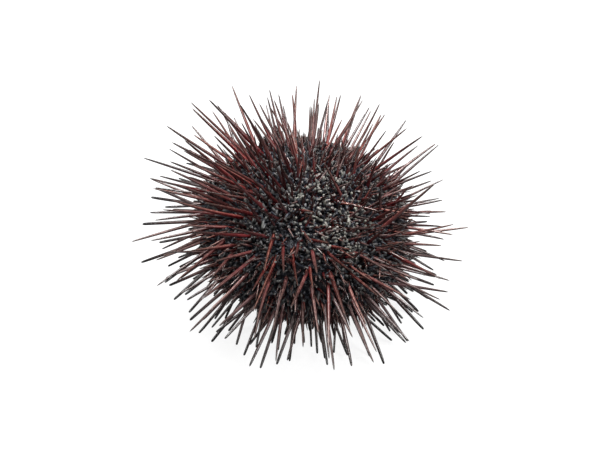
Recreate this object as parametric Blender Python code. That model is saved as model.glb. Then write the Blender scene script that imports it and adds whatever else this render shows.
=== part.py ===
"""A whole sea urchin at its real size: a low domed shell with spines all over it.

It stands on the tips of its lower spines. Metres, +Z up. The origin is on the floor,
under the middle of the object. Run it with: blender --background --python part.py
"""

import math
from collections import namedtuple

import bpy
import numpy as np
from mathutils import Matrix, Vector, noise

SEED = 66
URCHIN_COLOUR = (0.075, 0.028, 0.026)
URCHIN_ROUGHNESS = 0.45

# The shell: a dome on a flatter underside, both superellipses that meet at the widest ring.
SHELL_RADIUS = 0.0265
DOME_HEIGHT = 0.0155
UNDER_DEPTH = 0.0120
DOME_POWER = 2.2
UNDER_POWER = 2.6
RING_HEIGHT = 0.0215
LEAN_RIGHT = math.radians(9.0)
LEAN_FRONT = math.radians(3.0)
MERIDIAN_STEPS = 400

# The mouth is a sunken disc in the middle of the underside, with the beak's tip in it.
MOUTH_RADIUS = 0.0080
MOUTH_SINK = 0.0012
BEAK_RADIUS = 0.0015
BEAK_RISE = 0.0010

# The mat of short spines and tube feet, which the solid has as bumps.
MAT_LOW = 0.0006
MAT_HIGH = 0.0026
MAT_DETAIL = 4

# Spines stand in columns that run down the shell, six columns to each fifth of it.
# Every second column is set half a row lower.
FIFTHS = 5
COLUMNS = 6
ROWS = 18
ROW_START = 0.25
ROW_STAGGER = 0.5
APEX_ARC = 0.0035
MOUTH_ARC = 0.0095
SIDE_COLUMNS = (2, 5)
SIDE_COLUMN_RADIUS = 0.60 * SHELL_RADIUS
ODD_COLUMN = 1
ODD_COLUMN_RADIUS = 0.36 * SHELL_RADIUS
BASE_SCATTER = 0.0006

# A spine's length depends on how far down the shell it grows, and on which side.
SPINE_LENGTH = 0.0184
LENGTH_SPREAD = 0.25
DOWN_SHARES = (0.00, 0.10, 0.28, 0.40, 0.52, 0.62, 0.85, 1.00)
LENGTH_SHARES = (0.70, 0.70, 1.00, 0.98, 0.86, 0.82, 0.58, 0.58)
LONG_SIDE = Vector((-0.80, 0.00, 0.60))
LONG_SIDE_GAIN = 0.13

# It is a needle with a full waist. Those of the lower side are stout, and their waist is near
# the tip, which makes them blunt.
SPINE_RADIUS = 0.00047
STOUT_GAIN = 0.18
THIN_SHARE = 0.6
RADIUS_SPREAD = 0.12
ROOT_DEPTH = 0.0008
SPINE_SIDES = 4
WAIST_AT = 0.52
BLUNT_WAIST_AT = 0.90
WAIST_SHARE = 0.76
BLUNT_FROM, BLUNT_TO = 0.46, 0.60
NEEDLE_LENGTH = 0.0075

# A spine points between the shell's normal and straight away from its middle.
# Neighbours lean alike, which draws them into bunches, and each also leans its own way.
AWAY_SHARE = 0.80
BUNCH_LEAN = 0.42
BUNCH_SIZE = 0.0085
BUNCH_PLACES = (
    Vector((-59.9, 50.2, 10.8)),
    Vector((17.5, 1.7, 29.1)),
    Vector((34.6, -14.4, -43.4)),
)
OWN_LEAN = 0.13

# The crown is the side of the dome where the long spines thin out to short ones.
CROWN_TOWARDS = Vector((0.60, -0.31, 0.74)).normalized()
CROWN_INNER = 0.0100
CROWN_OUTER = 0.0185
CROWN_SHARE = 0.26
STRAY_SHARE = 0.07
STRAY_WITHIN = 0.9
STRAY_LEAN = 1.1

# Spines are tried a few ways each, and the way with the most room is taken.
TRIES = 5
ROOM_POINTS = 7
ROOM_FROM = 0.15
LEAST_OUTWARD = 0.35

# Spines that would pass through the floor lean out, and a few of them reach it.
FEET = 9
FOOT_GAP = (0.0004, 0.0016)


def meridian():
    """The shell's outline from the apex to the middle of the mouth, evenly cut.

    Returns the arc length, the radius, the height and the outward slope at each point.
    """
    turn = np.linspace(0, math.pi, 4 * MERIDIAN_STEPS)
    above = turn <= math.pi / 2
    power = np.where(above, 2 / DOME_POWER, 2 / UNDER_POWER)
    depth = np.where(above, DOME_HEIGHT, -UNDER_DEPTH)
    radius = SHELL_RADIUS * np.sin(turn) ** power
    height = depth * np.abs(np.cos(turn)) ** power
    arc = np.concatenate([[0], np.cumsum(np.hypot(np.diff(radius), np.diff(height)))])
    even = np.linspace(0, arc[-1], MERIDIAN_STEPS)
    radius = np.interp(even, arc, radius)
    height = np.interp(even, arc, height)
    slope = np.arctan2(-np.gradient(height), np.gradient(radius))
    return even, radius, height, slope


ARC, RADIUS, HEIGHT, SLOPE = meridian()

# How the shell lies: it leans a little to the right and to the front.
LEAN = Matrix.Rotation(LEAN_RIGHT, 4, "Y") @ Matrix.Rotation(LEAN_FRONT, 4, "X")
PLACED = Matrix.Translation((0, 0, RING_HEIGHT)) @ LEAN

Spine = namedtuple("Spine", "base along length radius waist")


def on_shell(azimuth, arc):
    """The point and outward normal on the placed shell, arc metres down from its apex."""
    radius = np.interp(arc, ARC, RADIUS)
    height = np.interp(arc, ARC, HEIGHT)
    slope = np.interp(arc, ARC, SLOPE)
    around = Vector((math.cos(azimuth), math.sin(azimuth), 0))
    point = around * radius + Vector((0, 0, height))
    normal = around * math.sin(slope) + Vector((0, 0, math.cos(slope)))
    return PLACED @ point, PLACED.to_3x3() @ normal, radius


def crown_point():
    """Where the middle of the crown is, on the placed shell."""
    local = PLACED.to_3x3().transposed() @ CROWN_TOWARDS
    azimuth = math.atan2(local.y, local.x)
    polar = np.arctan2(RADIUS, HEIGHT)
    arc = np.interp(math.acos(local.z), polar, ARC)
    return on_shell(azimuth, arc)[0]


CROWN = crown_point()


def smooth(low, high, value):
    share = min(1.0, max(0.0, (value - low) / (high - low)))
    return share * share * (3 - 2 * share)


def spine_bases(draw):
    """Where each spine grows, as azimuth and arc, row by row down each column."""
    first, last = APEX_ARC, ARC[-1] - MOUTH_ARC
    pitch = (last - first) / ROWS
    for column in range(FIFTHS * COLUMNS):
        kind = column % COLUMNS
        for row in range(ROWS):
            arc = first + pitch * (row + ROW_START + ROW_STAGGER * (column % 2))
            radius = np.interp(arc, ARC, RADIUS)
            if kind in SIDE_COLUMNS and radius < SIDE_COLUMN_RADIUS:
                continue
            if kind == ODD_COLUMN and radius < ODD_COLUMN_RADIUS:
                continue
            azimuth = 2 * math.pi * (column + 0.5) / (FIFTHS * COLUMNS)
            azimuth += draw.normal(0, BASE_SCATTER) / radius
            yield azimuth, arc + draw.normal(0, BASE_SCATTER)


def length_at(base, arc, draw):
    """A spine's length, and whether it is one of the few long ones astray in the crown."""
    length = np.interp(arc / ARC[-1], DOWN_SHARES, LENGTH_SHARES)
    away = (base - PLACED.translation).normalized()
    length *= 1 + LONG_SIDE_GAIN * max(0.0, away.dot(LONG_SIDE))
    length *= 1 + draw.uniform(-LENGTH_SPREAD, LENGTH_SPREAD)
    near = smooth(CROWN_INNER, CROWN_OUTER, (base - CROWN).length)
    stray = near < STRAY_WITHIN and draw.random() < STRAY_SHARE
    if not stray:
        length *= CROWN_SHARE + (1 - CROWN_SHARE) * near
    return float(SPINE_LENGTH * length), stray


def outward_at(base, normal):
    """Where the spines of one spot point on the whole, with the lean of their bunch."""
    away = (base - PLACED.translation).normalized()
    bunch = Vector([noise.noise(base / BUNCH_SIZE + place) for place in BUNCH_PLACES])
    return (normal.lerp(away, AWAY_SHARE) + bunch * BUNCH_LEAN).normalized()


def roomiest(base, outward, length, lean, taken, draw):
    """Of a few directions round the outward one, that which leaves most room."""
    shares = np.linspace(ROOM_FROM, 1, ROOM_POINTS)[:, None]
    best, most = None, -1.0
    for _ in range(TRIES):
        tilt = Vector(draw.normal(0, lean, 3))
        along = (outward + tilt).normalized()
        points = np.array(base) + shares * length * np.array(along)
        room = 1.0
        if along.dot(outward) < LEAST_OUTWARD:
            room = 0.0
        elif len(taken):
            gaps = points[:, None, :] - taken[None, :, :]
            room = math.sqrt((gaps * gaps).sum(axis=2).min())
        if room > most:
            best, most = along, room
    return best, np.array(base) + shares * length * np.array(best)


def turned_to(base, along, length, tip_height):
    """The direction leant out just so far that the tip comes to tip_height."""
    down = max(-1.0, (tip_height - base.z) / length)
    flat = Vector((along.x, along.y, 0)).normalized()
    return flat * math.sqrt(1 - down * down) + Vector((0, 0, down))


def shape_at(arc, length, draw):
    """A spine's radius at its base, and where along it the waist is."""
    radius = SPINE_RADIUS * (THIN_SHARE + (1 - THIN_SHARE) * length / SPINE_LENGTH)
    radius *= 1 + draw.uniform(-RADIUS_SPREAD, RADIUS_SPREAD)
    blunt = smooth(BLUNT_FROM, BLUNT_TO, arc / ARC[-1])
    radius *= 1 + STOUT_GAIN * blunt
    return float(radius), WAIST_AT + (BLUNT_WAIST_AT - WAIST_AT) * blunt


def spines():
    """Every long spine, none of them below the floor."""
    draw = np.random.default_rng(SEED)
    grown, taken = [], np.zeros((0, 3))
    for azimuth, arc in spine_bases(draw):
        base, normal, _ = on_shell(azimuth, arc)
        length, stray = length_at(base, arc, draw)
        radius, waist = shape_at(arc, length, draw)
        lean = STRAY_LEAN if stray else OWN_LEAN
        outward = outward_at(base, normal)
        along, points = roomiest(base, outward, length, lean, taken, draw)
        if base.z + along.z * length < FOOT_GAP[1]:
            along = turned_to(base, along, length, draw.uniform(*FOOT_GAP))
        taken = np.concatenate([taken, points])
        grown.append(Spine(base, along, length, radius, waist))
    for foot in feet(grown):
        spine = grown[foot]
        grown[foot] = spine._replace(along=turned_to(spine.base, spine.along, spine.length, 0.0))
    return grown


def feet(grown):
    """In each sector round the object, the low spine that reaches out furthest."""
    chosen = {}
    for index, spine in enumerate(grown):
        tip = spine.base + spine.along * spine.length
        if tip.z > FOOT_GAP[1]:
            continue
        sector = int((math.atan2(tip.y, tip.x) / (2 * math.pi) % 1) * FEET)
        reach = math.hypot(tip.x, tip.y)
        if reach > chosen.get(sector, (0, 0))[0]:
            chosen[sector] = (reach, index)
    return [index for _, index in chosen.values()]


def to_middle(grown):
    """How far to move everything so that the origin is under the middle."""
    tips = np.array([spine.base + spine.along * spine.length for spine in grown])
    low, high = tips.min(axis=0), tips.max(axis=0)
    return Vector((-(low[0] + high[0]) / 2, -(low[1] + high[1]) / 2, 0))


def material(name, colour, roughness):
    made = bpy.data.materials.new(name)
    made.use_nodes = True
    shader = made.node_tree.nodes["Principled BSDF"]
    shader.inputs["Base Color"].default_value = (*colour, 1)
    shader.inputs["Roughness"].default_value = roughness
    shader.inputs["Metallic"].default_value = 0.0
    return made


def add_object(name, points, faces, surface, holder):
    mesh = bpy.data.meshes.new(name)
    mesh.from_pydata([tuple(p) for p in points], [], faces)
    mesh.materials.append(surface)
    mesh.update()
    made = bpy.data.objects.new(name, mesh)
    holder.objects.link(made)
    return made


def shell(surface, offset, holder):
    """The shell with its mat: a ball of triangles drawn out to the shell's outline."""
    draw = np.random.default_rng(SEED + 1)
    bpy.ops.mesh.primitive_ico_sphere_add(subdivisions=MAT_DETAIL, radius=1)
    made = bpy.context.object
    made.name = made.data.name = "sea_urchin"
    for vertex in made.data.vertices:
        arc = ARC[-1] * math.acos(max(-1.0, min(1.0, vertex.co.z))) / math.pi
        azimuth = math.atan2(vertex.co.y, vertex.co.x)
        point, normal, radius = on_shell(azimuth, arc)
        if vertex.co.z < 0 and radius < BEAK_RADIUS:
            raised = BEAK_RISE
        elif vertex.co.z < 0 and radius < MOUTH_RADIUS:
            raised = -MOUTH_SINK
        else:
            raised = draw.uniform(MAT_LOW, MAT_HIGH)
        vertex.co = point + normal * raised + offset
    made.data.materials.append(surface)
    for other in list(made.users_collection):
        other.objects.unlink(made)
    holder.objects.link(made)
    return made


def add_spine(name, spine, offset, surface, holder):
    """One spine: a four-sided needle with a full waist, rooted in the shell."""
    side = spine.along.orthogonal().normalized()
    up = spine.along.cross(side)
    root = spine.base + offset - spine.along * ROOT_DEPTH
    reach = spine.length + ROOT_DEPTH
    rings = [(0, spine.radius)]
    if spine.length > NEEDLE_LENGTH:
        rings.append((spine.waist, spine.radius * WAIST_SHARE))
    points = []
    for share, radius in rings:
        for k in range(SPINE_SIDES):
            turn = 2 * math.pi * k / SPINE_SIDES
            out = side * math.cos(turn) + up * math.sin(turn)
            points.append(root + spine.along * (share * reach) + out * radius)
    points.append(root + spine.along * reach)
    tip = len(points) - 1
    last = SPINE_SIDES * (len(rings) - 1)
    faces = [tuple(reversed(range(SPINE_SIDES)))]
    for k in range(SPINE_SIDES):
        after = (k + 1) % SPINE_SIDES
        faces.append((last + k, last + after, tip))
        if last:
            faces.append((k, after, last + after, last + k))
    return add_object(name, points, faces, surface, holder)


def join_all(body, pieces):
    """Fuses the pieces of a collection to the body with one Boolean, and removes them."""
    union = body.modifiers.new("fuse", "BOOLEAN")
    union.operation = "UNION"
    union.operand_type = "COLLECTION"
    union.collection = pieces
    union.solver = "EXACT"
    bpy.context.view_layer.objects.active = body
    bpy.ops.object.modifier_apply(modifier=union.name)
    for piece in list(pieces.objects):
        bpy.data.objects.remove(piece)
    bpy.data.collections.remove(pieces)


def main():
    for old in list(bpy.data.objects):
        bpy.data.objects.remove(old)
    scene = bpy.context.scene
    surface = material("urchin", URCHIN_COLOUR, URCHIN_ROUGHNESS)
    grown = spines()
    offset = to_middle(grown)
    body = shell(surface, offset, scene.collection)
    pieces = bpy.data.collections.new("spines")
    scene.collection.children.link(pieces)
    for number, spine in enumerate(grown):
        add_spine(f"spine_{number}", spine, offset, surface, pieces)
    join_all(body, pieces)


main()
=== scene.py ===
"""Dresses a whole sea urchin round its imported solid: shell, spines, mat, tube feet and mouth.

Laid out as an add-on and run as a script. All sizes are metres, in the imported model's frame.
"""

import math
from collections import namedtuple

import bpy
import numpy as np
from bpy.props import FloatProperty, FloatVectorProperty, IntProperty, PointerProperty
from bpy.types import Operator, Panel, PropertyGroup
from mathutils import Matrix, Vector, kdtree, noise


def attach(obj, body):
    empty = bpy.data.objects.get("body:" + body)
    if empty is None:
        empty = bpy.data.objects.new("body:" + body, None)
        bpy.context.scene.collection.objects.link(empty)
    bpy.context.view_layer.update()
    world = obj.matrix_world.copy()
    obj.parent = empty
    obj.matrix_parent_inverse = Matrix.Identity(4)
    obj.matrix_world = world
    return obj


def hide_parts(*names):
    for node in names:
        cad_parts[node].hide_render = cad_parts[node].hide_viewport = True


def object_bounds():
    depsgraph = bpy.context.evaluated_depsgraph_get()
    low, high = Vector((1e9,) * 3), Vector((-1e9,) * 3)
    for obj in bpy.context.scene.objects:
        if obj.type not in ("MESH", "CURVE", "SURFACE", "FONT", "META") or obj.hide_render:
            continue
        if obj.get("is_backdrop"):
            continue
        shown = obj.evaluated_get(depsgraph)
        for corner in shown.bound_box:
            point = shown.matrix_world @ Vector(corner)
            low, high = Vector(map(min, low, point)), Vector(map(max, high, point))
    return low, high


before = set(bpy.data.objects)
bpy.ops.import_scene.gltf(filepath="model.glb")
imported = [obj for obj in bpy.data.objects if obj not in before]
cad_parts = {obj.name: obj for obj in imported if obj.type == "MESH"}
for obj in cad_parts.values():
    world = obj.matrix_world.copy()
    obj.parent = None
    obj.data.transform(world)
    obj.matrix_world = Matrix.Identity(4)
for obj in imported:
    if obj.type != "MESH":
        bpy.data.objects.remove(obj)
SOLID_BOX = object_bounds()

bl_info = {
    "name": "Sea Urchin",
    "version": (1, 0, 0),
    "blender": (4, 5, 0),
    "location": "3D View > Sidebar > Urchin",
    "description": "A whole sea urchin with its spines, tube feet and mouth",
    "category": "Object",
}

NODE = "sea_urchin"
SEED = 66

# How the shell and its long spines are laid out. These match the solid.
DOME_POWER = 2.2
UNDER_POWER = 2.6
MERIDIAN_STEPS = 400
FIFTHS = 5
COLUMNS = 6
ROWS = 18
ROW_START = 0.25
ROW_STAGGER = 0.5
APEX_ARC = 0.0035
MOUTH_ARC = 0.0095
SIDE_COLUMNS = (2, 5)
SIDE_COLUMN_SHARE = 0.60
ODD_COLUMN = 1
ODD_COLUMN_SHARE = 0.36
BASE_SCATTER = 0.0006
LENGTH_SPREAD = 0.25
DOWN_SHARES = (0.00, 0.10, 0.28, 0.40, 0.52, 0.62, 0.85, 1.00)
LENGTH_SHARES = (0.70, 0.70, 1.00, 0.98, 0.86, 0.82, 0.58, 0.58)
LONG_SIDE = Vector((-0.80, 0.00, 0.60))
LONG_SIDE_GAIN = 0.13
THIN_SHARE = 0.6
STOUT_GAIN = 0.18
RADIUS_SPREAD = 0.12
ROOT_DEPTH = 0.0008
WAIST_AT = 0.52
BLUNT_WAIST_AT = 0.90
BLUNT_FROM, BLUNT_TO = 0.46, 0.60
AWAY_SHARE = 0.80
BUNCH_LEAN = 0.42
BUNCH_SIZE = 0.0085
BUNCH_PLACES = (
    Vector((-59.9, 50.2, 10.8)),
    Vector((17.5, 1.7, 29.1)),
    Vector((34.6, -14.4, -43.4)),
)
OWN_LEAN = 0.13
CROWN_TOWARDS = Vector((0.60, -0.31, 0.74)).normalized()
CROWN_INNER = 0.0100
CROWN_OUTER = 0.0185
CROWN_SHARE = 0.26
STRAY_SHARE = 0.07
STRAY_WITHIN = 0.9
STRAY_LEAN = 1.1
TRIES = 5
ROOM_POINTS = 7
ROOM_FROM = 0.15
LEAST_OUTWARD = 0.35
FEET = 9
FOOT_GAP = (0.0004, 0.0016)
SOLID_FIT = 0.0002

# The blotches of a spine's worn skin are about a millimetre wide.
BLOTCH_WIDTH = 0.0011

# A real spine has dozens of ridges, each a few hundredths of a millimetre wide. They are too fine to
# show, so a long spine is drawn with seven coarse ones and a short spine with four.
LONG_SIDES, LONG_RIDGE = 14, 0.04
SHORT_SIDES, SHORT_RIDGE = 8, 0.05
RIDGE_PALENESS = (0.1, 0.7)

# How pale the ridges of a spine are: a little all round as real wear, and much paler on the sides that face
# up, which is a painted highlight from the top light.
RUBBED_ALL = 0.25
PAINTED_HIGHLIGHT_ABOVE = 1.4

# A blunt spine, low on the shell, keeps its tip dark because its crests lose most of their paleness there.
# This is painted shade for the shaded underside.
DARK_TIP_FROM, DARK_TIP_TO = 0.40, 0.80
DARK_TIP_SHARE = 0.95

# How grey a spine's colour turns: by chance as real wear, and most down the sides and below, which is
# painted shade.
WORN_BY_CHANCE = 0.4
PAINTED_SHADE_BELOW = 0.6
PAINTED_SHADE_FROM, PAINTED_SHADE_TO = 0.34, 0.56
SHORT_WORN = 0.8

# How far a spine bows, as a share of its length, and where a long one's collar ends.
LONG_BOW = 0.008
SHORT_BOW = 0.012
COLLAR_END = 0.10

# A needle that points up or down more than this takes its sides from X instead of from Z.
NEARLY_UPRIGHT = 0.9

# A short spine leans its own way, most in the crown, and is longer and stouter beside the pale patch.
SHORT_AWAY = 0.5
SHORT_LEAN = 0.42
STEADIER_OUTSIDE = 0.22
LONGER_BESIDE = 0.85
STOUTER_BESIDE = 0.25
SHORT_LENGTHS = (0.6, 1.25)
SHORT_RADII = (0.8, 1.15)
SHORT_SHARES = (0.0, 0.15, 0.45, 0.75, 0.93)
SHORT_SWELLS = (1.0, 1.0, 0.88, 0.62, 0.34)

# The shell's grid, the boss with its knob under each long spine, and the rim round the mouth.
SHELL_AROUND, SHELL_DOWN = 260, 110
BOSS_WIDTH, BOSS_HEIGHT = 0.0011, 0.00035
KNOB_WIDTH, KNOB_HEIGHT = 0.0005, 0.00040
RIM_WIDTH = 0.0006
UNDER_SKIN = 0.0006

# The pale ends are most in a patch that is taller than wide, and in smaller clumps all over. The patch is
# partly the crown's real pale specks and partly a painted highlight on the side that faces the light. Away
# from it the ends are dimmed, which is painted shade where the long spines shade the mat.
PALE_TOWARDS = Vector((0.39, -0.44, 0.80)).normalized()
PALE_STRETCH = np.array((1.3, 1.0, 1.0))
PALE_INNER = 0.0080
PALE_OUTER = 0.0190
PALE_CLUMP = 0.0035
CLUMPING = 1.2
PALE_ENDS = (0.45, 1.0)
DARK_ENDS = (0.0, 0.08)
PALE_OUTSIDE = 0.35

# The room and the floor look white, and light the urchin as a dimmer room would. The floor glows
# most far off, where less light falls on it.
ROOM_LIGHT = 0.21
ROOM_SEEN = 1.0
FLOOR_GLOW = 0.85
FLOOR_GLOW_FAR = 1.0
FLOOR_NEAR, FLOOR_FAR = 0.12, 0.70
FLOOR_BOUNCE = (0.22, 0.22, 0.22)

# Each light's name, place, width and power in watts. They all point at the urchin.
LIGHTS = (
    ("top_softbox", (0.03, 0.27, 0.86), 0.30, 17.5),
    ("front_softbox", (0.08, -0.44, 0.78), 0.20, 1.3),
    ("left_softbox", (-0.62, -0.20, 0.60), 0.26, 4.6),
    ("right_softbox", (0.62, -0.20, 0.60), 0.26, 6.4),
)

# The photograph's frame, and where the shell's middle is in it.
PIXELS_WIDE, PIXELS_HIGH = 600, 450
MIDDLE_AT = (304.5, 228)
MM_PER_M = 1000

# The tube feet stand in five bands, each a third of a fifth.
BAND_TURN = 2 * math.pi / FIFTHS
BAND_SHARE = 1 / 3
GOLDEN_TURN = math.pi * (3 - math.sqrt(5))

Spine = namedtuple("Spine", "base along length radius waist arc")

# How one kind of small body grows: how evenly they stand and how far from a long spine, how they
# lean, how many have a pale end, the spread of their sizes, and their form from root to tip.
Growth = namedtuple(
    "Growth",
    "seed jitter gap lean pale lengths radii shares swells sides bow"
    " ridge hollow band crown_length pale_swell",
    defaults=(0.0, 0.0, 1.0, 1.0, 0.0),
)
SMALL_AWAY = 0.2
MAT = Growth(
    seed=SEED + 4,
    jitter=0.0006,
    gap=0.00045,
    lean=0.30,
    pale=0.64,
    lengths=(0.5, 1.25),
    radii=(0.75, 1.35),
    shares=(0.0, 0.40, 0.75, 0.95),
    swells=(0.8, 0.8, 1.0, 0.75),
    sides=5,
    bow=0.24,
    crown_length=0.8,
    pale_swell=0.5,
)
TUBE_FEET = Growth(
    seed=SEED + 5,
    jitter=0.0005,
    gap=0.0006,
    lean=0.40,
    pale=0.55,
    lengths=(0.6, 1.2),
    radii=(0.85, 1.2),
    shares=(0.0, 0.25, 0.50, 0.75, 0.88, 0.95, 0.99),
    swells=(1.15, 1.0, 0.92, 0.95, 1.4, 2.3, 2.1),
    sides=8,
    bow=0.10,
    hollow=0.03,
    band=BAND_SHARE,
)
PINCERS = Growth(
    seed=SEED + 6,
    jitter=0.0009,
    gap=0.0006,
    lean=0.35,
    pale=0.40,
    lengths=(0.6, 1.2),
    radii=(0.8, 1.25),
    shares=(0.0, 0.40, 0.66, 0.76, 0.88, 0.97),
    swells=(0.45, 0.34, 0.42, 0.95, 1.0, 0.45),
    sides=7,
    bow=0.06,
    ridge=0.08,
)


def linear(code):
    """The linear colour of a hex sRGB code."""
    channels = [int(code[i : i + 2], 16) / 255 for i in (0, 2, 4)]
    return tuple(c / 12.92 if c <= 0.04045 else ((c + 0.055) / 1.055) ** 2.4 for c in channels)


def size(name, default, description):
    """A length that the user can change."""
    return FloatProperty(name=name, description=description, default=default, min=0, unit="LENGTH")


def turn(name, degrees, description):
    """An angle that the user can change."""
    return FloatProperty(
        name=name, description=description, default=math.radians(degrees), subtype="ANGLE"
    )


def colour(name, code, description):
    """A colour that the user can change."""
    return FloatVectorProperty(
        name=name,
        description=description,
        default=linear(code),
        min=0,
        max=1,
        subtype="COLOR",
    )


def count(name, default, description):
    """A number of things that the user can change."""
    return IntProperty(name=name, description=description, default=default, min=1)


class UrchinSizes(PropertyGroup):
    """The sizes of the shell and of all that grows on it."""

    shell_radius: size("Shell radius", 0.0265, "Radius of the shell at its widest ring")
    dome_height: size("Dome height", 0.0155, "Height of the dome above the widest ring")
    under_depth: size("Underside depth", 0.0120, "Depth of the underside below the widest ring")
    ring_height: size("Ring height", 0.0215, "Height of the widest ring over the floor")
    lean_right: turn("Lean right", 9.0, "How far the shell leans to the right")
    lean_front: turn("Lean front", 3.0, "How far the shell leans to the front")
    mouth_radius: size("Mouth radius", 0.0080, "Radius of the skin round the mouth")
    mouth_sink: size("Mouth sink", 0.0012, "How far the skin round the mouth lies in the shell")
    spine_length: size("Spine length", 0.0184, "Length of the longest spines")
    spine_radius: size("Spine radius", 0.00047, "Radius of a long spine at its base")
    short_length: size("Short spine length", 0.0060, "Length of the spines between the long ones")
    short_radius: size("Short spine radius", 0.00037, "Radius of those spines at the base")
    mat_length: size("Mat length", 0.0030, "Length of the spines of the mat")
    mat_radius: size("Mat spine radius", 0.00029, "Radius of the spines of the mat")
    foot_length: size("Tube foot length", 0.0033, "Length of a tube foot")
    foot_radius: size("Tube foot radius", 0.00016, "Radius of a tube foot's stalk")
    pincer_length: size("Pincer length", 0.0030, "Length of a pincer on its stalk")
    pincer_radius: size("Pincer radius", 0.00030, "Radius of a pincer's head")


class UrchinCounts(PropertyGroup):
    """How many small things cover the shell."""

    short_spines: count("Short spines", 2300, "Spines between the long ones")
    mat_spines: count("Mat spines", 5200, "Spines of the mat")
    tube_feet: count("Tube feet", 4800, "Tube feet if they stood all over the shell")
    pincers: count("Pincers", 2300, "Pincers between the spines")


class UrchinColours(PropertyGroup):
    """The colours of the shell and of all that grows on it."""

    spine_root: colour("Spine root", "420A10", "A spine near the shell")
    spine_middle: colour("Spine middle", "2E0A0C", "A spine halfway along")
    spine_tip: colour("Spine tip", "0E0A0A", "A spine near its tip")
    # The pale colour of the spines' crests: their real wear, and a painted highlight on the sides that face
    # up.
    ridge_wear_and_highlight: colour("Spine ridge", "9A7469", "The rubbed ridges of a spine")
    mat_dark: colour("Mat", "1D2028", "The mat of short spines")
    mat_tip: colour("Mat tip", "73716C", "The pale tip of a mat spine")
    foot_stalk: colour("Tube foot stalk", "1E1B1D", "A tube foot's stalk")
    foot_disc: colour("Tube foot disc", "706D69", "A tube foot's sucker")
    pincer_head: colour("Pincer head", "6D6C68", "A pincer's head")
    shell: colour("Shell", "181820", "The skin over the shell")
    mouth: colour("Mouth", "4A3A36", "The skin round the mouth")
    tooth: colour("Tooth", "D8D2C4", "The tips of the teeth")
    floor: colour("Floor", "6A6A6A", "The floor under its glow")


def smooth(low, high, value):
    """0 up to low, 1 from high, and an even curve between them."""
    share = np.clip((value - low) / (high - low), 0.0, 1.0)
    return share * share * (3 - 2 * share)


class Shell:
    """The placed shell: where its points are and which way they face."""

    def __init__(self, sizes):
        self.sizes = sizes
        self.arc, self.radius, self.height, self.slope = self.meridian()
        lean = Matrix.Rotation(sizes.lean_right, 4, "Y") @ Matrix.Rotation(sizes.lean_front, 4, "X")
        self.placed = Matrix.Translation((0, 0, sizes.ring_height)) @ lean
        self.middle = self.placed.translation.copy()
        self.crown = self.point_towards(CROWN_TOWARDS)
        self.pale = self.point_towards(PALE_TOWARDS)

    def meridian(self):
        """The outline from the apex to the middle of the mouth, evenly cut."""
        turned = np.linspace(0, math.pi, 4 * MERIDIAN_STEPS)
        above = turned <= math.pi / 2
        power = np.where(above, 2 / DOME_POWER, 2 / UNDER_POWER)
        depth = np.where(above, self.sizes.dome_height, -self.sizes.under_depth)
        radius = self.sizes.shell_radius * np.sin(turned) ** power
        height = depth * np.abs(np.cos(turned)) ** power
        arc = np.concatenate([[0], np.cumsum(np.hypot(np.diff(radius), np.diff(height)))])
        even = np.linspace(0, arc[-1], MERIDIAN_STEPS)
        radius = np.interp(even, arc, radius)
        height = np.interp(even, arc, height)
        slope = np.arctan2(-np.gradient(height), np.gradient(radius))
        return even, radius, height, slope

    def at(self, azimuth, arc):
        """The point, the outward normal and the distance from the shell's axis."""
        radius = np.interp(arc, self.arc, self.radius)
        height = np.interp(arc, self.arc, self.height)
        slope = np.interp(arc, self.arc, self.slope)
        around = Vector((math.cos(azimuth), math.sin(azimuth), 0))
        point = around * radius + Vector((0, 0, height))
        normal = around * math.sin(slope) + Vector((0, 0, math.cos(slope)))
        return self.placed @ point, self.placed.to_3x3() @ normal, radius

    def many_at(self, azimuth, arc):
        """The points and the outward normals at many places, as arrays."""
        radius = np.interp(arc, self.arc, self.radius)
        height = np.interp(arc, self.arc, self.height)
        slope = np.interp(arc, self.arc, self.slope)
        lean = np.array(self.placed.to_3x3())
        flat = np.stack([np.cos(azimuth), np.sin(azimuth), np.zeros_like(azimuth)], axis=-1)
        points = flat * radius[..., None]
        points[..., 2] = height
        normals = flat * np.sin(slope)[..., None]
        normals[..., 2] = np.cos(slope)
        return points @ lean.T + np.array(self.middle), normals @ lean.T

    def point_towards(self, direction):
        """The shell's point in a direction from its middle."""
        local = self.placed.to_3x3().transposed() @ direction
        azimuth = math.atan2(local.y, local.x)
        polar = np.arctan2(self.radius, self.height)
        return self.at(azimuth, np.interp(math.acos(local.z), polar, self.arc))[0]

    def off_crown(self, points):
        """0 in the crown and 1 away from it, for an array of points."""
        gap = np.linalg.norm(np.asarray(points) - np.array(self.crown), axis=-1)
        return smooth(CROWN_INNER, CROWN_OUTER, gap)

    def in_pale_patch(self, points):
        """1 where the pale ends are most and 0 away from there."""
        gap = np.linalg.norm((np.asarray(points) - np.array(self.pale)) * PALE_STRETCH, axis=-1)
        return 1 - smooth(PALE_INNER, PALE_OUTER, gap)

    def spread(self, number, draw, jitter):
        """Azimuths and arcs that cover the whole shell evenly, with a little jitter."""
        area = np.cumsum(self.radius) - self.radius / 2
        shares = (np.arange(number) + 0.5) / number
        arc = np.interp(shares * area[-1], area, self.arc)
        azimuth = (np.arange(number) * GOLDEN_TURN) % (2 * math.pi)
        radius = np.maximum(np.interp(arc, self.arc, self.radius), jitter)
        azimuth = azimuth + draw.uniform(-jitter, jitter, number) / radius
        return azimuth, arc + draw.uniform(-jitter, jitter, number)


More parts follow.
